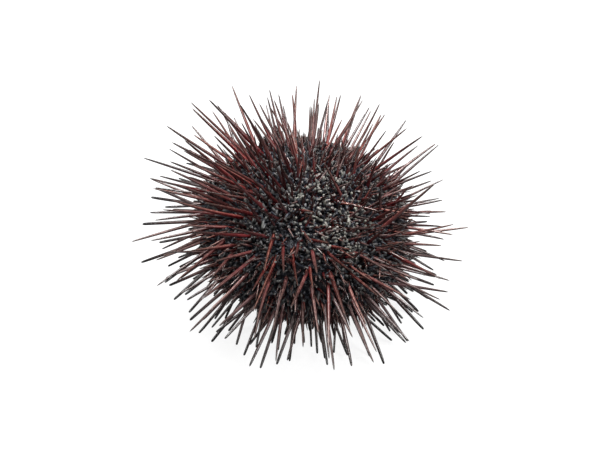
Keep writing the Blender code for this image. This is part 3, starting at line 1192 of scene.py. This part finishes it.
class OBJECT_OT_urchin_mouth(Operator):
    """Builds the skin round the mouth and the tips of the five teeth"""

    bl_idname = "object.urchin_mouth"
    bl_label = "Mouth"

    def execute(self, context):
        plan = Plan.of(context.scene)
        sizes, colours = context.scene.urchin_sizes, context.scene.urchin_colours
        turned = plan.shell.placed.to_3x3()
        down = turned @ Vector((0, 0, -1))
        middle = plan.shell.placed @ Vector((0, 0, -sizes.under_depth)) + plan.offset
        place = Matrix.Translation(middle - down * sizes.mouth_sink) @ turned.to_4x4()
        self.skin(place, sizes, colours)
        self.teeth(place, colours)
        return {"FINISHED"}

    def skin(self, place, sizes, colours):
        """A disc of skin with rings and folds, raised in a lip round the teeth."""
        rings, around = 26, 120
        inner, outer = 0.0012, sizes.mouth_radius + 0.0003
        folds, fold_height = 15, 0.00010
        waves, wave_height = 4, 0.00012
        lip_at, lip_width, lip_height = 0.0019, 0.0008, 0.0009
        points, faces = [], []
        for ring in range(rings + 1):
            share = ring / rings
            radius = inner + (outer - inner) * share
            for k in range(around):
                angle = 2 * math.pi * k / around
                fold = fold_height * math.cos(folds * angle) * math.sin(math.pi * share)
                wave = wave_height * math.cos(2 * math.pi * waves * share)
                lip = lip_height * math.exp(-(((radius - lip_at) / lip_width) ** 2))
                x, y = radius * math.cos(angle), radius * math.sin(angle)
                points.append(place @ Vector((x, y, -(lip + fold + wave))))
        for ring in range(rings):
            for k in range(around):
                after = (k + 1) % around
                low, high = ring * around, (ring + 1) * around
                faces.append((low + after, high + after, high + k, low + k))
        faces.append(tuple(range(around)))
        material = skin_material(
            "leathery_mouth_skin", colours.mouth, colours.shell, grain_width=0.0005, roughness=0.5
        )
        dress(mesh_object("mouth_skin", np.array([tuple(p) for p in points]), faces, material))

    def teeth(self, place, colours):
        """Five wedges that meet in a point under the mouth."""
        # Each level's height, its inner and outer place, and half its width.
        levels = (
            (0.0010, 0.0002, 0.0017, 0.00075),
            (-0.0004, 0.0002, 0.0015, 0.00065),
            (-0.0012, 0.0001, 0.0010, 0.00042),
            (-0.0016, 0.0001, 0.0004, 0.00012),
        )
        inner_share = 0.3
        points, faces = [], []
        for tooth in range(FIFTHS):
            wedge = Matrix.Rotation(2 * math.pi * (tooth + 0.5) / FIFTHS, 4, "Z")
            start = len(points)
            for height, near, far, half in levels:
                inner = inner_share * half
                for x, y in ((near, -inner), (far, -half), (far, half), (near, inner)):
                    points.append(place @ wedge @ Vector((x, y, height)))
            for level in range(len(levels) - 1):
                low, high = start + 4 * level, start + 4 * level + 4
                for k in range(4):
                    after = (k + 1) % 4
                    faces.append((low + after, low + k, high + k, high + after))
            end = len(points) - 4
            faces.append((start, start + 1, start + 2, start + 3))
            faces.append((end + 3, end + 2, end + 1, end))
        darker = tuple(0.8 * c for c in colours.tooth)
        material = grained_material("limy_tooth", colours.tooth, darker, grain_width=0.0008, roughness=0.35)
        made = mesh_object("teeth", np.array([tuple(p) for p in points]), faces, material)
        bevel = made.modifiers.new("worn edges", "BEVEL")
        bevel.width = 0.00012
        bevel.segments = 2
        dress(made)


class OBJECT_OT_urchin_stage(Operator):
    """Builds the floor, the lights and the camera"""

    bl_idname = "object.urchin_stage"
    bl_label = "Stage"

    def execute(self, context):
        plan = Plan.of(context.scene)
        self.floor(context.scene.urchin_colours)
        self.lights(context.scene)
        self.camera(context.scene, plan.shell.middle + plan.offset)
        return {"FINISHED"}

    def floor(self, colours):
        """A plain floor, wide enough to have no edge in sight."""
        half = 3.0
        corners = np.array([(-half, -half, 0), (half, -half, 0), (half, half, 0), (-half, half, 0)])
        made = mesh_object("floor", corners, [(0, 1, 2, 3)], self.board(colours))
        made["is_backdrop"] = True

    def board(self, colours):
        """Matt lit acrylic: to the camera it glows, more so far off, and it throws little back."""
        darker = tuple(0.97 * c for c in colours.floor)
        made = grained_material("matt_lit_acrylic", colours.floor, darker, grain_width=0.3, roughness=0.9)
        tree, shader = made.node_tree, made.node_tree.nodes["Principled BSDF"]
        shader.inputs["Emission Color"].default_value = (1, 1, 1, 1)
        place = node(tree, "ShaderNodeTexCoord")
        off = node(tree, "ShaderNodeVectorMath", {0: place.outputs["Object"]}, operation="LENGTH")
        glow = node(
            tree,
            "ShaderNodeMapRange",
            {"Value": off.outputs["Value"]},
            {
                "From Min": FLOOR_NEAR,
                "From Max": FLOOR_FAR,
                "To Min": FLOOR_GLOW,
                "To Max": FLOOR_GLOW_FAR,
            },
        )
        tree.links.new(glow.outputs["Result"], shader.inputs["Emission Strength"])
        grey = node(tree, "ShaderNodeBsdfDiffuse", None, {"Color": (*FLOOR_BOUNCE, 1)})
        seen = node(tree, "ShaderNodeLightPath").outputs["Is Camera Ray"]
        mix = node(
            tree, "ShaderNodeMixShader", {0: seen, 1: grey.outputs["BSDF"], 2: shader.outputs["BSDF"]}
        )
        tree.links.new(mix.outputs["Shader"], tree.nodes["Material Output"].inputs["Surface"])
        return made

    def lights(self, scene):
        """A pale room and four soft lights."""
        world = bpy.data.worlds.new("white_room")
        world.use_nodes = True
        tree, background = world.node_tree, world.node_tree.nodes["Background"]
        background.inputs["Color"].default_value = (1, 1, 1, 1)
        seen = node(tree, "ShaderNodeLightPath").outputs["Is Camera Ray"]
        strength = node(
            tree, "ShaderNodeMapRange", {"Value": seen}, {"To Min": ROOM_LIGHT, "To Max": ROOM_SEEN}
        )
        tree.links.new(strength.outputs["Result"], background.inputs["Strength"])
        scene.world = world
        for name, place, width, power in LIGHTS:
            data = bpy.data.lights.new(name, "AREA")
            data.shape = "DISK"
            data.size = width
            data.energy = power
            made = bpy.data.objects.new(name, data)
            made.location = place
            made.rotation_euler = Vector(place).to_track_quat("Z", "Y").to_euler()
            scene.collection.objects.link(made)

    def camera(self, scene, middle):
        """Looks along +Y and down, with the shell's middle at its place in the photograph."""
        elevation, distance = math.radians(43), 0.26
        lens, sensor = 0.056, 0.036
        away = Vector((0, -math.cos(elevation), math.sin(elevation)))
        up = Vector((0, math.sin(elevation), math.cos(elevation)))
        per_pixel = distance * sensor / lens / PIXELS_WIDE
        aim = middle - Vector((1, 0, 0)) * (MIDDLE_AT[0] - PIXELS_WIDE / 2) * per_pixel
        aim += up * (MIDDLE_AT[1] - PIXELS_HIGH / 2) * per_pixel
        data = bpy.data.cameras.new("camera")
        data.lens = lens * MM_PER_M
        data.sensor_width = sensor * MM_PER_M
        data.clip_start = 0.01
        made = bpy.data.objects.new("camera", data)
        made.location = aim + away * distance
        made.rotation_euler = away.to_track_quat("Z", "Y").to_euler()
        scene.collection.objects.link(made)
        scene.camera = made
        scene.view_settings.view_transform = "Standard"


PIECES = (
    OBJECT_OT_urchin_shell,
    OBJECT_OT_urchin_long_spines,
    OBJECT_OT_urchin_short_spines,
    OBJECT_OT_urchin_mat,
    OBJECT_OT_urchin_tube_feet,
    OBJECT_OT_urchin_pincers,
    OBJECT_OT_urchin_mouth,
    OBJECT_OT_urchin_stage,
)
GROUPS = (UrchinSizes, UrchinCounts, UrchinColours)


class VIEW3D_PT_urchin(Panel):
    """Lists the urchin's sizes, colours and pieces"""

    bl_label = "Sea Urchin"
    bl_space_type = "VIEW_3D"
    bl_region_type = "UI"
    bl_category = "Urchin"

    def draw(self, context):
        for group in (
            context.scene.urchin_sizes,
            context.scene.urchin_counts,
            context.scene.urchin_colours,
        ):
            box = self.layout.box()
            for key in group.__annotations__:
                box.prop(group, key)
        for piece in PIECES:
            self.layout.operator(piece.bl_idname)


def register():
    for kind in (*GROUPS, *PIECES, VIEW3D_PT_urchin):
        bpy.utils.register_class(kind)
    bpy.types.Scene.urchin_sizes = PointerProperty(type=UrchinSizes)
    bpy.types.Scene.urchin_counts = PointerProperty(type=UrchinCounts)
    bpy.types.Scene.urchin_colours = PointerProperty(type=UrchinColours)


def unregister():
    del bpy.types.Scene.urchin_colours
    del bpy.types.Scene.urchin_counts
    del bpy.types.Scene.urchin_sizes
    for kind in reversed((*GROUPS, *PIECES, VIEW3D_PT_urchin)):
        bpy.utils.unregister_class(kind)


def main():
    register()
    for piece in PIECES:
        family, name = piece.bl_idname.split(".")
        getattr(getattr(bpy.ops, family), name)()
    boxes = {"solid": SOLID_BOX, "visual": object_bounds()}
    {key: [list(corner) for corner in box] for key, box in boxes.items()}


if __name__ == "__main__":
    main()
